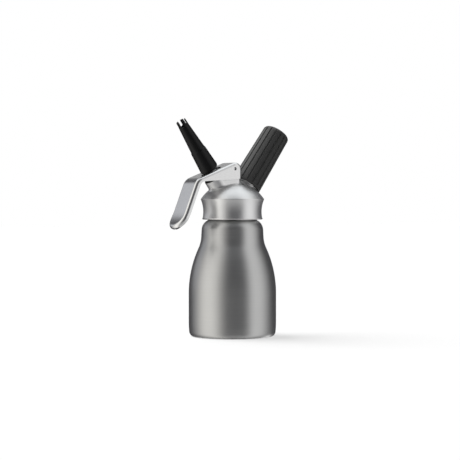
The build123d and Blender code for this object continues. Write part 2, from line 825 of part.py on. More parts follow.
# Metal thread ring inside the holder
with BuildPart() as holder_insert:
    with BuildSketch(charger_plane(holder_base)):
        Circle(insert_outer)
        Circle(insert_inner, mode=Mode.SUBTRACT)
    extrude(amount=insert_length)

os.makedirs("parts", exist_ok=True)
bottle_shell.part.label = "bottle_shell"
bottle_liner.part.label = "bottle_liner"
base_plate.part.label = "base_plate"
head_gasket.part.label = "head_gasket"
head_body.part.label = "head_body"
lever_pin.part.label = "lever_pin"
lever.part.label = "lever"
valve_stem.part.label = "valve_stem"
valve_seal.part.label = "valve_seal"
stem_ring.part.label = "stem_ring"
valve_gland.part.label = "valve_gland"
valve_spring.part.label = "valve_spring"
nozzle_adapter.part.label = "nozzle_adapter"
nozzle_seal.part.label = "nozzle_seal"
decorator_nozzle.part.label = "decorator_nozzle"
charger_stud.part.label = "charger_stud"
piercing_pin.part.label = "piercing_pin"
charger_seal.part.label = "charger_seal"
check_valve.part.label = "check_valve"
gas_charger.part.label = "gas_charger"
charger_holder.part.label = "charger_holder"
holder_insert.part.label = "holder_insert"

export_step(bottle_shell.part, "parts/bottle_shell.step")
export_step(bottle_liner.part, "parts/bottle_liner.step")
export_step(base_plate.part, "parts/base_plate.step")
export_step(head_gasket.part, "parts/head_gasket.step")
export_step(head_body.part, "parts/head_body.step")
export_step(lever_pin.part, "parts/lever_pin.step")
export_step(lever.part, "parts/lever.step")
export_step(valve_stem.part, "parts/valve_stem.step")
export_step(valve_seal.part, "parts/valve_seal.step")
export_step(stem_ring.part, "parts/stem_ring.step")
export_step(valve_gland.part, "parts/valve_gland.step")
export_step(valve_spring.part, "parts/valve_spring.step")
export_step(nozzle_adapter.part, "parts/nozzle_adapter.step")
export_step(nozzle_seal.part, "parts/nozzle_seal.step")
export_step(decorator_nozzle.part, "parts/decorator_nozzle.step")
export_step(charger_stud.part, "parts/charger_stud.step")
export_step(piercing_pin.part, "parts/piercing_pin.step")
export_step(charger_seal.part, "parts/charger_seal.step")
export_step(check_valve.part, "parts/check_valve.step")
export_step(gas_charger.part, "parts/gas_charger.step")
export_step(charger_holder.part, "parts/charger_holder.step")
export_step(holder_insert.part, "parts/holder_insert.step")
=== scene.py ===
"""Looks of the cream whipper: finishes, turned surfaces and a studio around the CAD frame."""

from __future__ import annotations

import json
import logging
import math
from dataclasses import dataclass, field
from enum import Enum

import bpy
import numpy as np
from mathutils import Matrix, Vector

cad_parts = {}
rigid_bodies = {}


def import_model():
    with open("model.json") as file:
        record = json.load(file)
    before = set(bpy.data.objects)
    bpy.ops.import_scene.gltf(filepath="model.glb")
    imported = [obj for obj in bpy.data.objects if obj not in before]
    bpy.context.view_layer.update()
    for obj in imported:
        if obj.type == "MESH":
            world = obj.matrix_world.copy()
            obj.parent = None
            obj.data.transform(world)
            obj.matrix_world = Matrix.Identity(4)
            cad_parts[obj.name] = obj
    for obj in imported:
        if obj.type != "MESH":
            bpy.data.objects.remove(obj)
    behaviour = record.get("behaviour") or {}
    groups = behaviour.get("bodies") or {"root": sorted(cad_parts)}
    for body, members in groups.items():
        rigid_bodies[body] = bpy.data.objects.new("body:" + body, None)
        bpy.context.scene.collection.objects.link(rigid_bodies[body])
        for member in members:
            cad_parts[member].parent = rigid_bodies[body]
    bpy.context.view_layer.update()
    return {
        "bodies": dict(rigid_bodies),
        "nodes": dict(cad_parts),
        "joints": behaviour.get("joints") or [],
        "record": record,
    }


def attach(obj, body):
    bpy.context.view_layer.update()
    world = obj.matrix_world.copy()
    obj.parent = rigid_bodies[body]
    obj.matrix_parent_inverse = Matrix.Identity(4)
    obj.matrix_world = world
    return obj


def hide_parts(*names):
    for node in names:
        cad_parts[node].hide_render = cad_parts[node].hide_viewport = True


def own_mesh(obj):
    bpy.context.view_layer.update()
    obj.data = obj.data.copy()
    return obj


MM = 0.001
FULL_TURN = 2.0 * np.pi
ALONG_Y = np.array([0.0, 1.0, 0.0])
WHITE = (1.0, 1.0, 1.0, 1.0)
LOG = logging.getLogger("cream_whipper")

Array = np.ndarray
Colour = tuple[float, float, float]
Corner = tuple[float, float]


class Ends(Enum):
    """How a skinned grid closes along its rows."""

    POLES = "poles"
    LOOP = "loop"


class Side(Enum):
    """The two slanted axes of the head: the valve leans to -X and the charger to +X."""

    VALVE = -1.0
    CHARGER = 1.0


# Shapes worked out as whole arrays


def ease(t: Array) -> Array:
    """Three times the square less twice the cube of a value, held between 0 and 1."""
    held = np.clip(t, 0.0, 1.0)
    return held * held * (3.0 - 2.0 * held)


@dataclass
class ProfilePath:
    """A profile drawn as straight runs and arcs, each starting where the last one ended.

    Attributes:
        x: current radius, in millimetres.
        y: current height, in millimetres.
        heading: current direction, in degrees from the outward radius.
        points: arrays of points drawn so far.
        normals: arrays of unit normals on the right-hand side of the path.
    """

    x: float
    y: float
    heading: float
    points: list[Array] = field(default_factory=list)
    normals: list[Array] = field(default_factory=list)

    def _keep(self, xs: Array, ys: Array, headings: Array) -> None:
        """Store points with the normals that lie a right angle clockwise of the headings.

        Args:
            xs: radius of each point.
            ys: height of each point.
            headings: direction of the path at each point, in degrees.
        """
        angle = np.radians(headings - 90.0)
        self.points.append(np.column_stack([xs, ys]))
        self.normals.append(np.column_stack([np.cos(angle), np.sin(angle)]))
        self.x, self.y, self.heading = float(xs[-1]), float(ys[-1]), float(headings[-1])

    def run(self, length: float, steps: int) -> ProfilePath:
        """Go straight on: start plus distance times the heading's direction.

        Args:
            length: distance, in millimetres.
            steps: number of points on the run.

        Returns:
            The path itself.
        """
        way = np.linspace(0.0, length, steps + 1)[1:]
        angle = math.radians(self.heading)
        xs = self.x + way * math.cos(angle)
        ys = self.y + way * math.sin(angle)
        self._keep(xs, ys, np.full(steps, self.heading))
        return self

    def bend(self, radius: float, turn: float, steps: int) -> ProfilePath:
        """Follow a circle that is tangent to the heading, to the left for a positive turn.

        Each point is the circle's centre plus the radius times the sine, and less the radius times
        the cosine, of its heading.

        Args:
            radius: the circle's radius, in millimetres.
            turn: angle turned through, in degrees.
            steps: number of points on the arc.

        Returns:
            The path itself.
        """
        reach = math.copysign(radius, turn)
        start = math.radians(self.heading)
        centre_x = self.x - reach * math.sin(start)
        centre_y = self.y + reach * math.cos(start)
        headings = self.heading + turn * np.linspace(0.0, 1.0, steps + 1)[1:]
        angle = np.radians(headings)
        self._keep(centre_x + reach * np.sin(angle), centre_y - reach * np.cos(angle), headings)
        return self

    def outline(self) -> Array:
        """All points drawn so far."""
        return np.concatenate(self.points)

    def wall(self, thickness: float) -> Array:
        """Closed outline of a wall: the path, then the path set in along its normals, walked back.

        Args:
            thickness: the wall's thickness, in millimetres.

        Returns:
            Points of the closed outline.
        """
        outer = self.outline()
        inner = outer - np.concatenate(self.normals) * thickness
        return np.concatenate([outer, inner[::-1]])


@dataclass(frozen=True)
class SlantAxis:
    """One of the two slanted axes, which cross on the bottle's axis.

    Attributes:
        side: which axis it is.
        crossing: height of the crossing point, in millimetres.
        tilt: angle from the vertical, in degrees.
    """

    side: Side
    crossing: float = 125.0095
    tilt: float = 34.5

    def along(self) -> Array:
        """Unit vector along the axis, outwards: sine of the tilt sideways, its cosine upwards."""
        lean = math.radians(self.tilt)
        return np.array([self.side.value * math.sin(lean), 0.0, math.cos(lean)])

    def across(self) -> Array:
        """Unit vector square to the axis and to Y."""
        along = self.along()
        return np.array([along[2], 0.0, -along[0]])

    def point(self, distance: Array | float) -> Array:
        """Points at distances from the crossing, along the axis."""
        return np.array([0.0, 0.0, self.crossing]) + distance * self.along()

    def turned(self, radius: Array, distance: Array, angle: Array) -> Array:
        """Surface of revolution about this axis: a point on the axis, plus the radius times the
        cosine of the angle across the axis, plus the radius times its sine along Y.

        Args:
            radius: radius of each row and column, in millimetres.
            distance: distance of each row from the crossing.
            angle: angle of each column, in radians.

        Returns:
            Grid of points, rows by columns by 3.
        """
        across = (radius * np.cos(angle))[..., None] * self.across()
        sideways = (radius * np.sin(angle))[..., None] * ALONG_Y
        return self.point(distance[:, None])[:, None] + across + sideways


@dataclass(frozen=True)
class Thread:
    """A right-hand screw thread cut into an outside face.

    Attributes:
        radius: radius of the face, in millimetres, as are all sizes here.
        low: where the thread begins along its axis.
        high: where it ends.
        pitch: rise in one turn.
        depth: depth of the groove.
        steepness: how steep the groove's flanks are.
        rows_per_turn: rows that draw one turn.
    """

    radius: float
    low: float
    high: float
    pitch: float
    depth: float
    steepness: float = 0.9
    rows_per_turn: int = 12

    def face(self) -> Array:
        """Points along the face before it is cut, evenly spaced from end to end.

        Returns:
            Points as radius and distance along the axis.
        """
        turns = (self.high - self.low) / self.pitch
        rows = np.linspace(self.low, self.high, math.ceil(self.rows_per_turn * turns) + 1)
        return np.column_stack([np.full(len(rows), self.radius), rows])

    def cut(self, outline: Array, angle: Array) -> Array:
        """Cut the groove into the rows of an outline that lie on the face.

        The groove is a half less the steepness times the cosine of the turns along the axis less
        the turns round it, held between 0 and 1. It fades out over one pitch at both ends.

        Args:
            outline: points as radius and distance along the axis.
            angle: angle of each column, in radians.

        Returns:
            Radius of each row and column.
        """
        radius, distance = outline.T
        turns = distance[:, None] / self.pitch - angle / FULL_TURN
        groove = np.clip(0.5 - self.steepness * np.cos(FULL_TURN * turns), 0.0, 1.0)
        share = ease((distance - self.low) / self.pitch) * ease((self.high - distance) / self.pitch)
        share = share * np.isclose(radius, self.radius)
        return radius[:, None] - self.depth * groove * share[:, None]


def ring_angles(segments: int) -> Array:
    """Angles of evenly spaced columns round an axis, in radians."""
    return np.arange(segments) * FULL_TURN / segments


def upright(radius: Array, height: Array, angle: Array) -> Array:
    """Surface of revolution about the bottle's axis: radius times cosine and sine of the angle.

    Args:
        radius: radius of each row and column, or one column for all, in millimetres.
        height: height of each row.
        angle: angle of each column, in radians.

    Returns:
        Grid of points, rows by columns by 3.
    """
    x = radius * np.cos(angle)
    y = radius * np.sin(angle)
    return np.stack(np.broadcast_arrays(x, y, height[:, None]), axis=-1)


def skin(grid: Array, ends: Ends) -> tuple[Array, list[list[int]]]:
    """Faces over a grid that wraps round along its columns.

    With POLES, a point at the mean of the first row and one at the mean of the last row close the
    ends. With LOOP, the last row joins the first.

    Args:
        grid: points, rows by columns by 3.
        ends: how the rows close.

    Returns:
        Vertices and faces.
    """
    rows, cols, _ = grid.shape
    count = rows * cols
    ring = np.arange(cols)
    after = np.roll(ring, -1)
    low = cols * np.arange(rows if ends is Ends.LOOP else rows - 1)[:, None]
    high = (low + cols) % count
    quads = np.stack([low + ring, low + after, high + after, high + ring], axis=-1)
    verts = grid.reshape(-1, 3)
    faces = quads.reshape(-1, 4).tolist()
    if ends is Ends.POLES:
        top = count - cols
        verts = np.concatenate([verts, grid[[0, -1]].mean(axis=1)])
        faces += np.column_stack([np.full(cols, count), after, ring]).tolist()
        faces += np.column_stack([np.full(cols, count + 1), top + ring, top + after]).tolist()
    return verts, faces


def put(name: str, data: bpy.types.ID) -> bpy.types.Object:
    """Add an object to the scene, at the origin.

    Args:
        name: the object's name.
        data: its mesh, light or camera.

    Returns:
        The new object.
    """
    obj = bpy.data.objects.new(name, data)
    bpy.context.scene.collection.objects.link(obj)
    return obj


def solid(name: str, grid: Array, ends: Ends, sharp: float = 40.0) -> bpy.types.Object:
    """Closed mesh over a grid, shaded smooth except at sharp edges.

    Args:
        name: the object's name.
        grid: points in millimetres, rows by columns by 3.
        ends: how the rows close.
        sharp: edges that bend by more than this many degrees stay sharp.

    Returns:
        The new object.
    """
    verts, faces = skin(grid, ends)
    mesh = bpy.data.meshes.new(name)
    mesh.from_pydata((verts * MM).tolist(), [], faces)
    mesh.validate()
    mesh.shade_smooth()
    mesh.set_sharp_from_angle(angle=math.radians(sharp))
    return put(name, mesh)


# Finishes


def fill(node: bpy.types.Node, inputs: dict) -> None:
    """Set a node's inputs, by name or number."""
    for key, value in inputs.items():
        node.inputs[key].default_value = value


@dataclass
class NodeSheet:
    """A node tree with short ways to find, add and join nodes.

    Attributes:
        tree: the tree of a material or of the world.
    """

    tree: bpy.types.NodeTree

    def find(self, kind: str) -> bpy.types.Node:
        """The tree's first node of a type."""
        return next(node for node in self.tree.nodes if node.type == kind)

    def add(self, kind: str, inputs: dict | None = None, **settings: str) -> bpy.types.Node:
        """Add a node.

        Args:
            kind: Blender's node type.
            inputs: values of its inputs, by name or number.
            **settings: its other settings, by name.

        Returns:
            The new node.
        """
        node = self.tree.nodes.new(kind)
        for name, value in settings.items():
            setattr(node, name, value)
        fill(node, inputs or {})
        return node

    def join(self, out: bpy.types.NodeSocket, into: bpy.types.NodeSocket) -> None:
        """Link an output to an input."""
        self.tree.links.new(out, into)

    def seen(self) -> bpy.types.NodeSocket:
        """One for rays from the camera, a reflection or a refraction, and zero for diffuse light.

        Returns:
            The socket that gives it.
        """
        path = self.add("ShaderNodeLightPath")
        shown = path.outputs["Is Camera Ray"]
        for kind in ("Is Glossy Ray", "Is Transmission Ray"):
            larger = self.add("ShaderNodeMath", operation="MAXIMUM")
            self.join(shown, larger.inputs[0])
            self.join(path.outputs[kind], larger.inputs[1])
            shown = larger.outputs["Value"]
        return shown


def new_material(name: str) -> tuple[bpy.types.Material, NodeSheet]:
    """Material with the nodes that Blender gives it.

    Args:
        name: the material's name.

    Returns:
        The material and its node sheet.
    """
    material = bpy.data.materials.new(name)
    material.use_nodes = True
    return material, NodeSheet(material.node_tree)


def glow(name: str, attribute: str) -> bpy.types.Material:
    """Plain emission whose light the mesh carries.

    Args:
        name: the material's name.
        attribute: the mesh attribute that holds the light as a colour, 1 for white.

    Returns:
        The material.
    """
    material, sheet = new_material(name)
    sheet.tree.nodes.clear()
    level = sheet.add("ShaderNodeAttribute", attribute_name=attribute)
    shine = sheet.add("ShaderNodeEmission")
    out = sheet.add("ShaderNodeOutputMaterial")
    sheet.join(level.outputs["Color"], shine.inputs["Color"])
    sheet.join(shine.outputs["Emission"], out.inputs["Surface"])
    return material


def even(cells: float) -> tuple[float, float, float]:
    """The same number of cells per metre along X, Y and Z."""
    return (cells, cells, cells)


@dataclass(frozen=True)
class Grain:
    """A fine surface texture that varies roughness, colour and height.

    Attributes:
        cells: cells per metre along X, Y and Z.
        detail: octaves of noise.
        rough: roughness at the texture's low and high end.
        tint_low: factor on the colour at the low end.
        height: depth of the bump, in millimetres.
    """

    cells: tuple[float, float, float]
    detail: float
    rough: tuple[float, float]
    tint_low: float
    height: float


@dataclass(frozen=True)
class Finish:
    """A surface finish: colour and reflection with a grain over it.

    Attributes:
        name: the material's name.
        colour: linear base colour.
        metallic: 1 for metal, 0 for plastic and rubber.
        grain: fine texture.
        specular: reflection level of a non-metal.
        coat: strength of a clear coat.
        anisotropy: stretch of highlights across grooves turned round the bottle's axis.
        coat_rough: roughness of the clear coat.
        groove_turn: part of a turn from the grooves to the stretch.
        fine_rough: how strong the finer octaves of the grain's noise are.
        fine_share: share of the grain in the tint; the rest is a broad, faint cloud.
        cloud_cells: cells of that cloud per metre.
        cloud_detail: its octaves.
        noise_range: values of noise that count as low and high end.
        bump_strength: strength of the bump.
    """

    name: str
    colour: Colour
    metallic: float
    grain: Grain
    specular: float = 0.5
    coat: float = 0.0
    anisotropy: float = 0.0
    coat_rough: float = 0.12
    groove_turn: float = 0.25
    fine_rough: float = 0.6
    fine_share: float = 0.7
    cloud_cells: float = 40.0
    cloud_detail: float = 2.0
    noise_range: tuple[float, float] = (0.3, 0.7)
    bump_strength: float = 0.35

    def make(self) -> bpy.types.Material:
        """Build the material: noise laid along Object coordinates drives roughness, tint and bump.

        Returns:
            The finished material.
        """
        material, sheet = new_material(self.name)
        shader = sheet.find("BSDF_PRINCIPLED")
        reflection = {
            "Metallic": self.metallic,
            "Specular IOR Level": self.specular,
            "Coat Weight": self.coat,
            "Coat Roughness": self.coat_rough,
            "Anisotropic": self.anisotropy,
        }
        fill(shader, reflection)
        if self.anisotropy > 0.0:
            fill(shader, {"Anisotropic Rotation": self.groove_turn})
            lathe = sheet.add("ShaderNodeTangent", direction_type="RADIAL", axis="Z")
            sheet.join(lathe.outputs["Tangent"], shader.inputs["Tangent"])
        place = sheet.add("ShaderNodeTexCoord").outputs["Object"]
        spread = sheet.add("ShaderNodeMapping", {"Scale": self.grain.cells})
        sheet.join(place, spread.inputs["Vector"])
        octaves = {"Scale": 1.0, "Detail": self.grain.detail, "Roughness": self.fine_rough}
        noise = sheet.add("ShaderNodeTexNoise", octaves)
        sheet.join(spread.outputs["Vector"], noise.inputs["Vector"])
        fine = noise.outputs["Fac"]
        sheet.join(self.roughness(sheet, fine), shader.inputs["Roughness"])
        sheet.join(self.tint(sheet, place, fine), shader.inputs["Base Color"])
        depth = {"Distance": self.grain.height * MM, "Strength": self.bump_strength}
        bump = sheet.add("ShaderNodeBump", depth)
        sheet.join(fine, bump.inputs["Height"])
        sheet.join(bump.outputs["Normal"], shader.inputs["Normal"])
        return material

    def roughness(self, sheet: NodeSheet, fine: bpy.types.NodeSocket) -> bpy.types.NodeSocket:
        """Roughness between its two ends, in proportion to the grain's noise.

        Args:
            sheet: the material's nodes.
            fine: the grain's noise.

        Returns:
            The socket that gives it.
        """
        ends = ("From Min", "From Max", "To Min", "To Max")
        values = self.noise_range + self.grain.rough
        level = sheet.add("ShaderNodeMapRange", dict(zip(ends, values)))
        sheet.join(fine, level.inputs["Value"])
        return level.outputs["Result"]

    def tint(
        self, sheet: NodeSheet, place: bpy.types.NodeSocket, fine: bpy.types.NodeSocket
    ) -> bpy.types.NodeSocket:
        """Colour between its two ends, by a weighted sum of the grain's noise and a broad cloud.

        Args:
            sheet: the material's nodes.
            place: Object coordinates.
            fine: the grain's noise.

        Returns:
            The socket that gives it.
        """
        octaves = {"Scale": self.cloud_cells, "Detail": self.cloud_detail}
        cloud = sheet.add("ShaderNodeTexNoise", octaves)
        sheet.join(place, cloud.inputs["Vector"])
        faint = sheet.add("ShaderNodeMath", {1: 1.0 - self.fine_share}, operation="MULTIPLY")
        sheet.join(cloud.outputs["Fac"], faint.inputs[0])
        mixed = sheet.add("ShaderNodeMath", {1: self.fine_share}, operation="MULTIPLY_ADD")
        sheet.join(fine, mixed.inputs[0])
        sheet.join(faint.outputs["Value"], mixed.inputs[2])
        ramp = sheet.add("ShaderNodeValToRGB")
        for element, position, factor in zip(
            ramp.color_ramp.elements, self.noise_range, (self.grain.tint_low, 1.0)
        ):
            element.position = position
            element.color = (*(part * factor for part in self.colour), 1.0)
        sheet.join(mixed.outputs["Value"], ramp.inputs["Fac"])
        return ramp.outputs["Color"]


SHELL_STEEL = Finish(
    name="brushed_shell",
    colour=(0.60, 0.60, 0.595),
    metallic=1.0,
    grain=Grain((30.0, 30.0, 1100.0), 4.0, rough=(0.36, 0.44), tint_low=0.92, height=0.012),
    anisotropy=0.8,
)
LINER_STEEL = Finish(
    name="satin_liner",
    colour=(0.66, 0.66, 0.65),
    metallic=1.0,
    grain=Grain((60.0, 60.0, 900.0), 3.0, rough=(0.26, 0.34), tint_low=0.95, height=0.003),
)
HEAD_METAL = Finish(
    name="satin_head",
    colour=(0.90, 0.90, 0.90),
    metallic=1.0,
    grain=Grain(even(1400.0), 3.0, rough=(0.34, 0.42), tint_low=0.94, height=0.012),
    anisotropy=0.3,
)
LEVER_METAL = Finish(
    name="satin_lever",
    colour=(0.87, 0.87, 0.87),
    metallic=1.0,
    grain=Grain(even(1000.0), 3.0, rough=(0.19, 0.25), tint_low=0.88, height=0.012),
)
BRIGHT_STEEL = Finish(
    name="bright_steel",
    colour=(0.62, 0.62, 0.63),
    metallic=1.0,
    grain=Grain(even(700.0), 2.0, rough=(0.16, 0.24), tint_low=0.96, height=0.004),
)
CHARGER_STEEL = Finish(
    name="lacquered_charger",
    colour=(0.70, 0.70, 0.72),
    metallic=0.9,
    grain=Grain(even(500.0), 2.0, rough=(0.24, 0.32), tint_low=0.95, height=0.004),
    coat=0.4,
)
NOZZLE_BLACK = Finish(
    name="nozzle_black",
    colour=(0.008, 0.008, 0.0085),
    metallic=0.0,
    grain=Grain(even(1500.0), 2.0, rough=(0.30, 0.42), tint_low=0.85, height=0.01),
    specular=0.25,
)
HOLDER_BLACK = Finish(
    name="holder_black",
    colour=(0.10, 0.10, 0.099),
    metallic=0.0,
    grain=Grain(even(1800.0), 3.0, rough=(0.5, 0.62), tint_low=0.8, height=0.02),
    specular=0.25,
)
GLAND_BLACK = Finish(
    name="gland_black",
    colour=(0.015, 0.015, 0.015),
    metallic=0.0,
    grain=Grain(even(1500.0), 2.0, rough=(0.45, 0.6), tint_low=0.85, height=0.01),
)
SEAL_BLACK = Finish(
    name="seal_rubber",
    colour=(0.022, 0.022, 0.022),
    metallic=0.0,
    grain=Grain(even(1200.0), 3.0, rough=(0.6, 0.8), tint_low=0.8, height=0.02),
    specular=0.35,
)
GASKET_WHITE = Finish(
    name="gasket_rubber",
    colour=(0.72, 0.72, 0.69),
    metallic=0.0,
    grain=Grain(even(1200.0), 3.0, rough=(0.55, 0.7), tint_low=0.94, height=0.02),
    specular=0.35,
)
INSERT_NICKEL = Finish(
    name="nickelled_insert",
    colour=(0.84, 0.83, 0.81),
    metallic=1.0,
    grain=Grain((300.0, 300.0, 2000.0), 3.0, rough=(0.24, 0.34), tint_low=0.93, height=0.006),
)

NODE_FINISHES: dict[str, Finish] = {
    "bottle_shell": SHELL_STEEL,
    "bottle_liner": LINER_STEEL,
    "base_plate": LINER_STEEL,
    "head_gasket": GASKET_WHITE,
    "head_body": HEAD_METAL,
    "lever_pin": BRIGHT_STEEL,
    "lever": LEVER_METAL,
    "valve_stem": BRIGHT_STEEL,
    "valve_seal": SEAL_BLACK,
    "stem_ring": SEAL_BLACK,
    "valve_gland": GLAND_BLACK,
    "valve_spring": BRIGHT_STEEL,
    "nozzle_adapter": BRIGHT_STEEL,
    "nozzle_seal": SEAL_BLACK,
    "decorator_nozzle": NOZZLE_BLACK,
    "charger_stud": HEAD_METAL,
    "piercing_pin": BRIGHT_STEEL,
    "charger_seal": SEAL_BLACK,
    "check_valve": SEAL_BLACK,
    "gas_charger": CHARGER_STEEL,
    "charger_holder": HOLDER_BLACK,
    "holder_insert": INSERT_NICKEL,
}


@dataclass
class Fitter:
    """Dresses pieces and hands new surfaces over to the frame.

    Attributes:
        made: materials made so far, by finish name.
    """

    frame: dict
    made: dict[str, bpy.types.Material] = field(default_factory=dict)

    def dress(self, obj: bpy.types.Object, node: str) -> None:
        """Give a piece the finish of a node all over. A finish's material is made on first use.

        Args:
            obj: the piece.
            node: the CAD node that it is or stands for.
        """
        finish = NODE_FINISHES[node]
        if finish.name not in self.made:
            self.made[finish.name] = finish.make()
        obj.data.materials.clear()
        obj.data.materials.append(self.made[finish.name])

    def body_of(self, node: str) -> str:
        """Body that a node moves with."""
        bodies = self.frame["record"]["behaviour"]["bodies"]
        return next(body for body, nodes in bodies.items() if node in nodes)

    def stand_in(self, obj: bpy.types.Object, node: str) -> None:
        """Let a surface stand for a CAD node, with the same body and finish.

        Args:
            obj: the new surface.
            node: the CAD node that it replaces.
        """
        self.dress(obj, node)
        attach(obj, self.body_of(node))
        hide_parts(node)
        LOG.info("%s stands for %s with %d faces", obj.name, node, len(obj.data.polygons))

    def keep(self, *nodes: str) -> None:
        """Keep CAD nodes as they are and give them their finishes.

        Args:
            *nodes: the nodes' names.
        """
        for node in nodes:
            self.dress(self.frame["nodes"][node], node)
            LOG.info("%s keeps its CAD shape", node)


# Sub-assemblies


@dataclass(frozen=True)
class WallRows:
    """Points on each part of the bottle's side.

    Attributes:
        corner: points on the foot's corner.
        heel: points on the gentle curve above it.
        straight: points on the straight wall.
        shoulder: points on the long shoulder curve.
        hollow: points on the hollow curve under the throat.
        throat: points on the throat.
        crown: points on the curve that closes in to the neck.
    """

    corner: int
    heel: int
    straight: int
    shoulder: int
    hollow: int
    throat: int
    crown: int


@dataclass
class Bottle:
    """The outer shell as one fine turned wall, and the liner with the screw thread on its neck.

    Attributes:
        body_radius: radius of the straight wall, in millimetres, as are all sizes here.
        throat_radius: radius of the narrow part under the head.
        foot_lip: width of the flat lip that turns in under the bottle.
        foot_corner: radius of the foot's corner.
        heel_radius: radius of the gentle curve above it.
        heel_turn: angle of that curve, in degrees.
        wall_height: height at which the shoulder begins.
        shoulder_radius: radius of the long shoulder curve.
        throat_curve: radius of the hollow curve under the throat.
        throat_slope: slope of the throat, in degrees.
        throat_length: length of the throat's straight part.
        crown_radius: radius of the curve that closes in to the neck.
        neck_gap_radius: radius of the opening round the neck.
        wall: thickness of the sheet.
        liner_inset: distance of the liner from the outside.
        mouth_radius: radius of the bottle's mouth.
        rim_height: height of its rim.
        thread: screw thread on the neck.
        first_step: distance from the lip's edge to the shell's first point.
        lip_rows: points on the shell's lip.
        floor_rows: points on the liner's floor.
        shell_rows: points on the shell's side.
        liner_rows: points on the liner's side.
        shell_segments: columns of the shell.
        liner_segments: columns of the liner.
    """

    body_radius: float = 42.5
    throat_radius: float = 30.3
    foot_lip: float = 3.0
    foot_corner: float = 5.0
    heel_radius: float = 90.0
    heel_turn: float = 6.0
    wall_height: float = 42.0
    shoulder_radius: float = 106.0
    throat_curve: float = 30.0
    throat_slope: float = 3.0
    throat_length: float = 7.0
    crown_radius: float = 11.0
    neck_gap_radius: float = 23.55
    wall: float = 0.9
    liner_inset: float = 3.5
    mouth_radius: float = 21.0
    rim_height: float = 128.0095
    thread: Thread = Thread(radius=23.5, low=113.0, high=127.6, pitch=3.0, depth=0.9)
    first_step: float = 0.01
    lip_rows: int = 3
    floor_rows: int = 4
    shell_rows: WallRows = WallRows(
        corner=16, heel=10, straight=14, shoulder=40, hollow=20, throat=5, crown=18
    )
    liner_rows: WallRows = WallRows(
        corner=8, heel=6, straight=6, shoulder=20, hollow=12, throat=3, crown=10
    )
    shell_segments: int = 224
    liner_segments: int = 144

    def foot_radius(self) -> float:
        """Radius at which the foot's corner begins, so that corner and heel end at the wall."""
        reach = (self.heel_radius - self.foot_corner) * math.cos(math.radians(self.heel_turn))
        return self.body_radius - self.heel_radius + reach

    def shoulder_turn(self) -> float:
        """Angle of the shoulder curve, from the drop between wall and throat that it shares with
        the hollow curve.

        Returns:
            The angle, in degrees.
        """
        drop = self.body_radius - self.throat_radius
        hollow = self.throat_curve * math.cos(math.radians(self.throat_slope))
        both = self.shoulder_radius + self.throat_curve
        return math.degrees(math.acos((self.shoulder_radius + hollow - drop) / both))

    def climb(self, path: ProfilePath, inset: float, stop: float, rows: WallRows) -> ProfilePath:
        """Carry a path from the foot's corner up to the neck, set in from the outside: the inset is
        taken off each outward arc and added to the hollow one.

        Args:
            path: the path, at the foot's corner.
            inset: distance from the outside, in millimetres.
            stop: radius at which the crown's curve stops.
            rows: points on each part.

        Returns:
            The path itself.
        """
        turn = self.shoulder_turn()
        path.bend(self.foot_corner - inset, 90.0 - self.heel_turn, rows.corner)
        path.bend(self.heel_radius - inset, self.heel_turn, rows.heel)
        path.run(self.wall_height - path.y, rows.straight)
        path.bend(self.shoulder_radius - inset, turn, rows.shoulder)
        path.bend(self.throat_curve + inset, self.throat_slope - turn, rows.hollow)
        path.run(self.throat_length, rows.throat)
        crown = self.crown_radius - inset
        centre = path.x - crown * math.cos(math.radians(self.throat_slope))
        last = math.degrees(math.acos((stop - centre) / crown))
        return path.bend(crown, last - self.throat_slope, rows.crown)

    def shell(self) -> Array:
        """Shell turned about the bottle's axis: from the lip under the foot up to the neck, and
        back inside.

        Returns:
            Grid of points, rows by columns by 3.
        """
        path = ProfilePath(self.foot_radius() - self.foot_lip, 0.0, 0.0)
        path.run(self.first_step, 1).run(self.foot_lip - self.first_step, self.lip_rows)
        self.climb(path, 0.0, self.neck_gap_radius, self.shell_rows)
        outline = path.wall(self.wall)
        return upright(outline[:, :1], outline[:, 1], ring_angles(self.shell_segments))

    def liner_side(self, inset: float, stop: float) -> Array:
        """The liner's side from the middle of its floor to the neck.

        Args:
            inset: distance from the outside, in millimetres.
            stop: radius at which the crown's curve stops.

        Returns:
            Points as radius and height.
        """
        path = ProfilePath(0.0, inset, 0.0).run(self.foot_radius(), self.floor_rows)
        return self.climb(path, inset, stop, self.liner_rows).outline()

    def liner(self) -> Array:
        """Liner turned about the bottle's axis: the side outside, the neck with its thread, the
        rim, the side inside.

        Returns:
            Grid of points, rows by columns by 3.
        """
        outer = self.liner_side(self.liner_inset, self.thread.radius)
        inner = self.liner_side(self.liner_inset + self.wall, self.mouth_radius)[::-1]
        rim = [(self.thread.radius, self.rim_height), (self.mouth_radius, self.rim_height)]
        outline = np.concatenate([outer, self.thread.face(), rim, inner])
        angle = ring_angles(self.liner_segments)
        return upright(self.thread.cut(outline, angle), outline[:, 1], angle)

    def build(self, fitter: Fitter) -> None:
        """Turn the shell and the liner and dress the bottle's nodes.

        Args:
            fitter: dresses the pieces.
        """
        fitter.stand_in(solid("shell_wall", self.shell(), Ends.LOOP), "bottle_shell")
        fitter.stand_in(solid("liner_wall", self.liner(), Ends.POLES), "bottle_liner")
        fitter.keep("base_plate", "head_gasket")


@dataclass
class ScrewPart:
    """A turned piece on a slanted axis with a screw thread on one of its faces.

    Attributes:
        axis: the axis that it is turned about.
        thread: the screw thread.
        segments: columns of the surface.
    """

    axis: SlantAxis
    thread: Thread
    segments: int

    def surface(self, below: list[Corner], above: list[Corner]) -> Array:
        """Turn a closed outline about the axis and cut the thread.

        Args:
            below: corners before the threaded face, as radius and distance along the axis.
            above: corners after it.

        Returns:
            Grid of points, rows by columns by 3.
        """
        outline = np.concatenate([below, self.thread.face(), above])
        angle = ring_angles(self.segments)
        return self.axis.turned(self.thread.cut(outline, angle), outline[:, 1], angle)


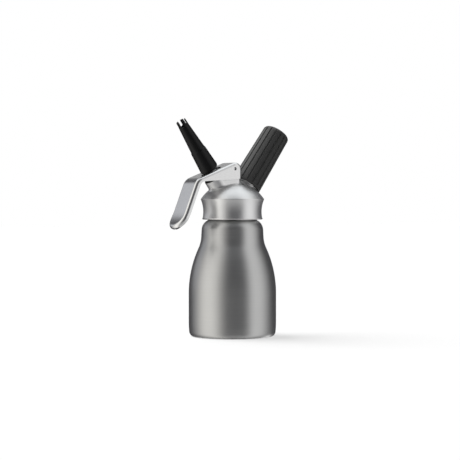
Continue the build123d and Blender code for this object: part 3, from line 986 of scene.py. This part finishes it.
@dataclass
class Adapter(ScrewPart):
    """Flange that the lever presses, with the spigot that the nozzle screws on.

    Attributes:
        foot: distance of the flange's lower face, in millimetres, as are all sizes here.
        flange_top: distance of its upper face.
        flange_radius: radius of the flange.
        socket_radius: radius of the socket for the stem.
        socket_end: distance at which the socket ends.
        way_radius: radius of the way for the cream.
        top: distance of the spigot's end.
    """

    axis: SlantAxis = SlantAxis(Side.VALVE)
    thread: Thread = Thread(radius=4.9, low=41.0, high=52.7, pitch=1.5, depth=0.45)
    segments: int = 72
    foot: float = 38.6
    flange_top: float = 40.1
    flange_radius: float = 9.0
    socket_radius: float = 3.62
    socket_end: float = 46.95
    way_radius: float = 2.2
    top: float = 53.0

    def build(self, fitter: Fitter) -> None:
        """Turn the adapter and dress it.

        Args:
            fitter: dresses the piece.
        """
        below = [
            (self.socket_radius, self.foot),
            (self.flange_radius, self.foot),
            (self.flange_radius, self.flange_top),
            (self.thread.radius, self.flange_top),
        ]
        above = [
            (self.thread.radius, self.top),
            (self.way_radius, self.top),
            (self.way_radius, self.socket_end),
            (self.socket_radius, self.socket_end),
        ]
        surface = solid("threaded_adapter", self.surface(below, above), Ends.LOOP)
        fitter.stand_in(surface, "nozzle_adapter")


@dataclass
class Stud(ScrewPart):
    """The piece in the charger's boss that the holder screws on.

    Attributes:
        foot: distance of its lower end, in millimetres, as are all sizes here.
        shank_radius: radius of the part in the boss.
        flange: distance at which the threaded part begins.
        top: distance of its upper end.
        mouth_radius: radius of the mouth, which narrows to the seat's radius.
        mouth_end: distance at which the mouth ends.
        seat_radius: radius of the seat for the charger's seal.
        seat: distance of the seat.
        way_radius: radius of the way for the gas.
    """

    axis: SlantAxis = SlantAxis(Side.CHARGER)
    thread: Thread = Thread(radius=11.3, low=27.9, high=34.8, pitch=1.5, depth=0.45)
    segments: int = 120
    foot: float = 19.0
    shank_radius: float = 7.2
    flange: float = 27.6
    top: float = 35.0
    mouth_radius: float = 9.7
    mouth_end: float = 30.5
    seat_radius: float = 4.9
    seat: float = 20.4
    way_radius: float = 2.02

    def build(self, fitter: Fitter) -> None:
        """Turn the stud and dress it.

        Args:
            fitter: dresses the piece.
        """
        below = [
            (self.way_radius, self.foot),
            (self.shank_radius, self.foot),
            (self.shank_radius, self.flange),
            (self.thread.radius, self.flange),
        ]
        above = [
            (self.thread.radius, self.top),
            (self.mouth_radius, self.top),
            (self.seat_radius, self.mouth_end),
            (self.seat_radius, self.seat),
            (self.way_radius, self.seat),
        ]
        surface = solid("threaded_stud", self.surface(below, above), Ends.LOOP)
        fitter.stand_in(surface, "charger_stud")


@dataclass
class ValveSpring:
    """The coil between gland and adapter, which shortens as the lever is pressed.

    Attributes:
        axis: the valve's axis.
        low: distance of the wire's lower end along the axis, in millimetres, as are all sizes here.
        high: distance of its upper end.
        radius: radius of the coil, to the middle of the wire.
        wire: thickness of the wire.
        turns: number of turns.
        travel: how far the adapter comes down; not used.
        steps: rows of the surface in each turn.
        segments: columns round the wire.
    """

    axis: SlantAxis = SlantAxis(Side.VALVE)
    low: float = 28.51
    high: float = 38.05
    radius: float = 5.7
    wire: float = 1.0
    turns: int = 5
    travel: float = 2.0
    steps: int = 48
    segments: int = 14

    def coil(self) -> Array:
        """Wire carried along a helix: a circle of the wire's radius, square to the helix.

        The helix is the radius times cosine and sine of the angle in the plane across the axis,
        plus a rise along the axis in proportion to the angle. The circle lies between the outward
        direction and its cross product with the helix's own direction.

        Returns:
            Grid of points, rows along the wire by columns round it by 3.
        """
        height = self.high - self.low
        share = np.linspace(0.0, 1.0, self.turns * self.steps + 1)[:, None]
        angle = FULL_TURN * self.turns * share
        across = self.axis.across()
        outward = np.cos(angle) * across + np.sin(angle) * ALONG_Y
        forward = np.cos(angle) * ALONG_Y - np.sin(angle) * across
        rise = height / (FULL_TURN * self.turns * self.radius)
        heading = (forward + rise * self.axis.along()) / math.hypot(1.0, rise)
        middle = self.axis.point(self.low + height * share) + self.radius * outward
        turn = ring_angles(self.segments)[:, None]
        sideways = np.cross(heading, outward)
        circle = np.cos(turn) * outward[:, None] + np.sin(turn) * sideways[:, None]
        return middle[:, None] + 0.5 * self.wire * circle

    def build(self, fitter: Fitter) -> None:
        """Wind the coil and dress it as the valve's spring.

        Args:
            fitter: dresses the piece.
        """
        spring = solid("valve_coil", self.coil(), Ends.POLES)
        fitter.stand_in(spring, "valve_spring")
        axis = self.axis.along()
        foot = self.axis.point(self.low - 0.5 * self.wire) * MM
        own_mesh(spring)


@dataclass
class Head:
    """Collar, dome, bosses and bracket of the head, and the valve in it.

    Attributes:
        kept: nodes that keep their CAD shapes.
        adapter: the piece between lever and nozzle.
        spring: the valve's spring.
    """

    kept: tuple[str, ...] = (
        "head_body",
        "lever_pin",
        "valve_stem",
        "valve_seal",
        "stem_ring",
        "valve_gland",
        "nozzle_seal",
    )
    adapter: Adapter = field(default_factory=Adapter)
    spring: ValveSpring = field(default_factory=ValveSpring)

    def build(self, fitter: Fitter) -> None:
        """Dress the head's nodes and build the adapter and the spring.

        Args:
            fitter: dresses the pieces.
        """
        fitter.keep(*self.kept)
        self.adapter.build(fitter)
        self.spring.build(fitter)


@dataclass
class Lever:
    """The bent channel that presses the valve."""

    def build(self, fitter: Fitter) -> None:
        """Dress the lever."""
        fitter.keep("lever")


@dataclass
class Nozzle:
    """The decorating nozzle on the valve's axis."""

    def build(self, fitter: Fitter) -> None:
        """Dress the nozzle."""
        fitter.keep("decorator_nozzle")


@dataclass
class ChargerGroup:
    """Charger, its holder and what they screw on.

    Attributes:
        stud: the piece that the holder screws on.
        kept: nodes that keep their CAD shapes.
    """

    stud: Stud = field(default_factory=Stud)
    kept: tuple[str, ...] = (
        "piercing_pin",
        "charger_seal",
        "check_valve",
        "gas_charger",
        "charger_holder",
        "holder_insert",
    )

    def build(self, fitter: Fitter) -> None:
        """Build the stud and dress the charger's nodes."""
        self.stud.build(fitter)
        fitter.keep(*self.kept)


# Studio


@dataclass(frozen=True)
class Softbox:
    """One of the soft lights that the metal mirrors, placed by angles in degrees.

    Attributes:
        begin: angle to the camera's right at which it begins to show.
        full_from: angle from which it is evenly bright.
        full_to: angle up to which it is evenly bright.
        end: angle at which it has faded out.
        level: brightness of red, green and blue, 1 for white.
        low: elevation of its lower edge.
        high: elevation of its upper edge.
        edge: width of the lower and the upper edge.
    """

    begin: float
    full_from: float
    full_to: float
    end: float
    level: Colour
    low: float = -120.0
    high: float = 120.0
    edge: float = 8.0

    def at(self, angle: Array, elevation: Array) -> Array:
        """Share of the box's light towards each direction: a smooth step across each of its edges.

        Args:
            angle: degrees from the camera's direction.
            elevation: degrees above the horizon.

        Returns:
            Share between 0 and 1.
        """
        middle = 0.5 * (self.begin + self.end)
        turned = (angle - middle + 180.0) % 360.0 - 180.0 + middle
        across = ease((turned - self.begin) / (self.full_from - self.begin))
        across = across * ease((self.end - turned) / (self.end - self.full_to))
        upward = ease((elevation - self.low) / self.edge + 0.5)
        return across * upward * ease((self.high - elevation) / self.edge + 0.5)


@dataclass
class Studio:
    """White room with a pale floor, what the metal mirrors, and the camera.

    Reflections show a dim surround with soft boxes and a white ceiling, as in a studio for metal
    ware. Sizes are in metres, and angles and elevations in degrees. Angles count from the camera's
    direction to its right.

    Attributes:
        azimuth: camera's direction round the object.
        distance: camera's distance from the bottle's axis.
        eye_height: camera's height.
        aim: point at the middle of the picture, as offset to the right and height.
        picture_width: width that the picture covers at the object.
        room_light: brightness of the room for diffuse light.
        floor_half: half of the floor's width.
        floor_colour: reflectance of the floor.
        floor_rough: roughness of the floor.
        floor_lift: brightness added to the floor where it is seen, so that it meets the white room
            without a line.
        ball_radius: radius of the mirrored surround.
        ball_height: height of its middle.
        ball_end: elevation of its first and last row, below and above.
        ball_rows: rows of the surround.
        ball_columns: columns of the surround.
        dim: brightness of the surround between the soft boxes.
        boxes: the soft boxes.
        ceiling: brightness of the ceiling.
        ceiling_front: elevation at which the ceiling begins in front of the object.
        ceiling_back: elevation at which it begins behind the object.
        ceiling_fade: rise from there to full brightness.
        table: brightness of the surround under the object.
        table_edge: elevation at which the table begins.
        table_fade: drop from there to full brightness.
        table_side: angle at which the table ends, to the left and to the right.
        table_side_fade: angle over which it fades there.
        sun_turn: angle of the overhead light.
        sun_rise: its elevation.
        sun_width: angle that it fills.
        sun_distance: its distance.
        sun_strength: its strength, in watts per square metre.
    """

    azimuth: float = -30.0
    distance: float = 1.6
    eye_height: float = 0.133
    aim: tuple[float, float] = (-0.00233, 0.1034)
    picture_width: float = 0.44735
    room_light: float = 0.12
    floor_half: float = 6.0
    floor_colour: Colour = (0.22, 0.22, 0.22)
    floor_rough: float = 0.9
    floor_lift: float = 0.66
    ball_radius: float = 2.6
    ball_height: float = 0.1
    ball_end: float = 89.5
    ball_rows: int = 90
    ball_columns: int = 121
    dim: Colour = (0.085, 0.085, 0.09)
    boxes: tuple[Softbox, ...] = (
        Softbox(-136.0, -72.0, -62.0, -8.0, (1.10, 1.085, 1.05)),
        Softbox(30.0, 60.0, 74.0, 130.0, (0.87, 0.87, 0.87)),
        Softbox(-146.0, -130.0, -110.0, -90.0, (0.55, 0.56, 0.59), low=3.0, high=27.0),
        Softbox(-196.0, -186.0, -166.0, -154.0, (0.40, 0.40, 0.40), low=6.0, high=27.0),
        Softbox(118.0, 138.0, 188.0, 205.0, (1.6, 1.6, 1.6), low=-42.0, high=-27.0),
    )
    ceiling: Colour = (0.98, 1.01, 1.03)
    ceiling_front: float = 60.0
    ceiling_back: float = 29.0
    ceiling_fade: float = 18.0
    table: Colour = (0.42, 0.42, 0.42)
    table_edge: float = -3.0
    table_fade: float = 36.0
    table_side: float = 140.0
    table_side_fade: float = 40.0
    sun_turn: float = -114.0
    sun_rise: float = 58.0
    sun_width: float = 50.0
    sun_distance: float = 2.0
    sun_strength: float = 5.5

    def direction(self, angle: float) -> Vector:
        """Horizontal unit vector from the bottle at an angle from the camera's direction."""
        turn = math.radians(self.azimuth + angle)
        return Vector((math.sin(turn), -math.cos(turn), 0.0))

    def camera(self) -> None:
        """Place the camera so that the picture's width and middle match the photograph."""
        data = bpy.data.cameras.new("camera")
        data.lens = data.sensor_width * self.distance / self.picture_width
        obj = put("camera", data)
        obj.location = self.direction(0.0) * self.distance + Vector((0.0, 0.0, self.eye_height))
        target = self.direction(90.0) * self.aim[0] + Vector((0.0, 0.0, self.aim[1]))
        obj.rotation_euler = (target - obj.location).to_track_quat("-Z", "Y").to_euler()
        bpy.context.scene.camera = obj

    def room(self) -> None:
        """White world for the camera and for reflections, softer for diffuse light."""
        world = bpy.data.worlds.new("room")
        bpy.context.scene.world = world
        world.use_nodes = True
        sheet = NodeSheet(world.node_tree)
        back = sheet.find("BACKGROUND")
        fill(back, {"Color": WHITE})
        level = sheet.add("ShaderNodeMapRange", {"To Min": self.room_light, "To Max": 1.0})
        sheet.join(sheet.seen(), level.inputs["Value"])
        sheet.join(level.outputs["Result"], back.inputs["Strength"])

    def overhead(self) -> None:
        """Wide soft light from above on the left, for diffuse light only."""
        data = bpy.data.lights.new("overhead", "SUN")
        data.energy = self.sun_strength
        data.angle = math.radians(self.sun_width)
        obj = put("overhead", data)
        rise = math.radians(self.sun_rise)
        level = self.direction(self.sun_turn) * math.cos(rise)
        towards = level + Vector((0.0, 0.0, math.sin(rise)))
        obj.location = towards * self.sun_distance
        obj.rotation_euler = towards.to_track_quat("Z", "Y").to_euler()
        obj.visible_glossy = False

    def light(self, angle: Array, elevation: Array) -> Array:
        """Light of the surround: the dim level, brightened by each soft box and by the table below,
        and covered by the ceiling, which begins higher in front than behind.

        Args:
            angle: degrees from the camera's direction, one per column.
            elevation: degrees above the horizon, one per row.

        Returns:
            Red, green and blue for each row and column.
        """
        below = ease((self.table_edge - elevation) / self.table_fade)
        below = below * ease((self.table_side - np.abs(angle)) / self.table_side_fade)
        shares = [(box.at(angle, elevation), box.level) for box in self.boxes]
        light = np.array(self.dim)
        for share, level in [*shares, (below, self.table)]:
            light = light + np.maximum(0.0, (np.array(level) - light) * share[..., None])
        front = 0.5 * (1.0 + np.cos(np.radians(angle)))
        start = self.ceiling_back + (self.ceiling_front - self.ceiling_back) * front
        above = ease((elevation - start) / self.ceiling_fade)[..., None]
        return light + (np.array(self.ceiling) - light) * above

    def mirror_ball(self) -> None:
        """Surround that only reflections show: a ball of points by angle and elevation, each the
        radius times cosine and sine of the two.
        """
        angle = np.linspace(-180.0, 180.0, self.ball_columns)[None, :]
        elevation = np.linspace(-self.ball_end, self.ball_end, self.ball_rows)[:, None]
        turn = np.radians(self.azimuth + angle)
        reach = self.ball_radius * np.cos(np.radians(elevation))
        height = self.ball_height + self.ball_radius * np.sin(np.radians(elevation))
        ball = np.broadcast_arrays(reach * np.sin(turn), -reach * np.cos(turn), height)
        rows, cols = self.ball_rows, self.ball_columns
        corner = (np.arange(rows - 1)[:, None] * cols + np.arange(cols - 1)).reshape(-1)
        faces = np.column_stack([corner, corner + 1, corner + cols + 1, corner + cols])
        mesh = bpy.data.meshes.new("surround")
        mesh.from_pydata(np.stack(ball, axis=-1).reshape(-1, 3).tolist(), [], faces.tolist())
        shine = mesh.attributes.new("light", "FLOAT_COLOR", "POINT")
        light = np.concatenate([self.light(angle, elevation), np.ones((rows, cols, 1))], axis=-1)
        shine.data.foreach_set("color", light.reshape(-1))
        mesh.materials.append(glow("surround_glow", "light"))
        obj = put("surround", mesh)
        obj.visible_camera = False
        obj.visible_diffuse = False
        obj.visible_shadow = False

    def floor(self) -> None:
        """Plain pale floor that takes the object's shadow, lifted to white where it is seen."""
        half = self.floor_half
        corners = [(-half, -half, 0), (half, -half, 0), (half, half, 0), (-half, half, 0)]
        mesh = bpy.data.meshes.new("floor")
        mesh.from_pydata(corners, [], [(0, 1, 2, 3)])
        material, sheet = new_material("floor_white")
        shader = sheet.find("BSDF_PRINCIPLED")
        surface = {
            "Base Color": (*self.floor_colour, 1.0),
            "Roughness": self.floor_rough,
            "Specular IOR Level": 0.0,
            "Emission Color": WHITE,
        }
        fill(shader, surface)
        lift = sheet.add("ShaderNodeMath", {1: self.floor_lift}, operation="MULTIPLY")
        sheet.join(sheet.seen(), lift.inputs[0])
        sheet.join(lift.outputs["Value"], shader.inputs["Emission Strength"])
        mesh.materials.append(material)
        obj = put("floor", mesh)
        obj.visible_glossy = False

    def build(self) -> None:
        """Set the plain view transform and build room, light, surround, floor and camera."""
        bpy.context.scene.view_settings.view_transform = "Standard"
        self.room()
        self.overhead()
        self.mirror_ball()
        self.floor()
        self.camera()


def main() -> None:
    """Load the frame, build each sub-assembly in order and set the studio."""
    logging.basicConfig(level=logging.INFO, format="%(name)s: %(message)s")
    for leftover in list(bpy.data.objects):
        bpy.data.objects.remove(leftover)
    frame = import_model()
    fitter = Fitter(frame)
    for assembly in (Bottle(), Head(), Lever(), Nozzle(), ChargerGroup()):
        assembly.build(fitter)
    Studio().build()


if __name__ == "__main__":
    main()
